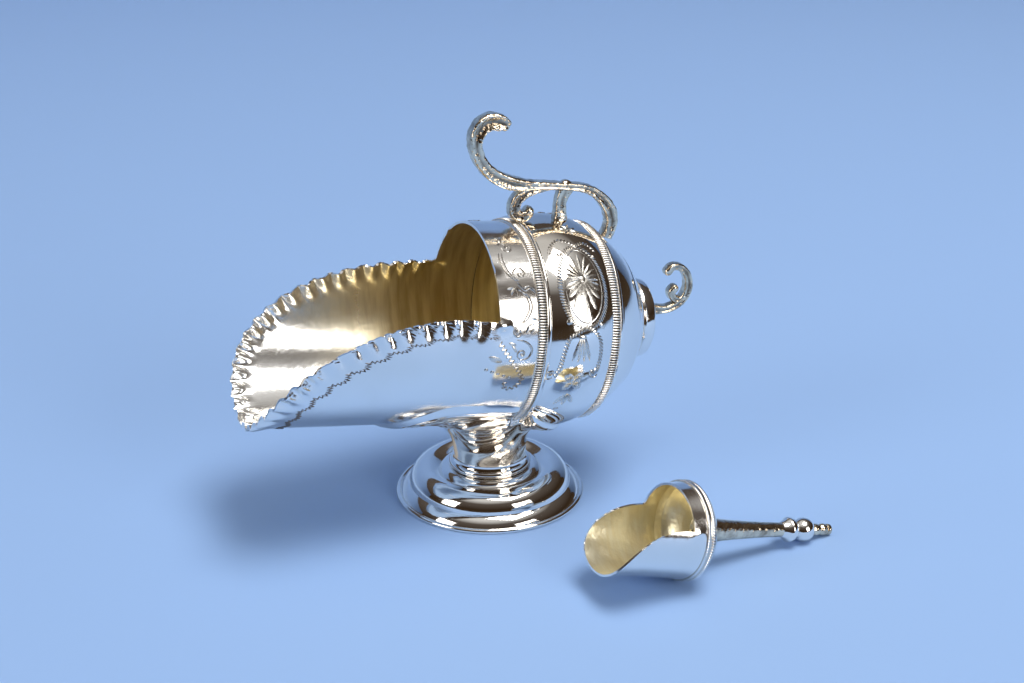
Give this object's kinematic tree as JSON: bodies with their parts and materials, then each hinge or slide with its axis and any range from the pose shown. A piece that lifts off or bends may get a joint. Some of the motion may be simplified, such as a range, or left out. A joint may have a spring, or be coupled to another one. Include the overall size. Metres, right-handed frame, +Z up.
{
  "type": "sugar scuttle",
  "caption": "Coal-scuttle-shaped silver-plated sugar bowl on a spun pedestal foot, with a cast carrying handle, an open crimped mouth gilt inside and a loose scoop lying beside it.",
  "frame": {"origin": "centre of the foot's resting face, on the table", "axes": "+Z up, -X towards the open mouth, +X towards the tail, -Y towards the side where the scoop lies"},
  "size_m": [0.1813, 0.1302, 0.1361],
  "materials": {
    "silver_engraved": "polished silver plate with engraved borders, gilt inside",
    "silver_polished": "mirror-polished silver plate",
    "silver_milled": "milled silver plate, dark in the grooves",
    "silver_cast": "cast and burnished silver plate, dark in the hollows",
    "scoop_silver": "polished silver plate, lightly gilt inside the blade"
  },
  "bodies": {
    "bowl": {"mouth_shell": "silver_engraved", "barrel_shell": "silver_engraved", "rear_dome": "silver_polished", "rear_cap": "silver_polished", "front_band": "silver_milled", "front_bead": "silver_polished", "rear_band": "silver_milled", "foot": "silver_polished", "foot_rim_wire": "silver_polished", "foot_saddle": "silver_polished", "carrying_handle": "silver_cast", "tail_scroll": "silver_cast", "tail_ball": "silver_cast"},
    "scoop": {"scoop_blade": "scoop_silver", "scoop_dome": "scoop_silver", "scoop_bead_band": "scoop_silver", "scoop_collar": "scoop_silver", "scoop_stem": "scoop_silver", "scoop_knop_inner": "scoop_silver", "scoop_knop_outer": "scoop_silver", "scoop_peg": "scoop_silver"}
  },
  "joints": [
    {"name": "scoop_lift", "type": "slide", "parent": "bowl", "child": "scoop", "axis": [0, 0, 1], "range_m": [0, 0.15]}
  ]
}
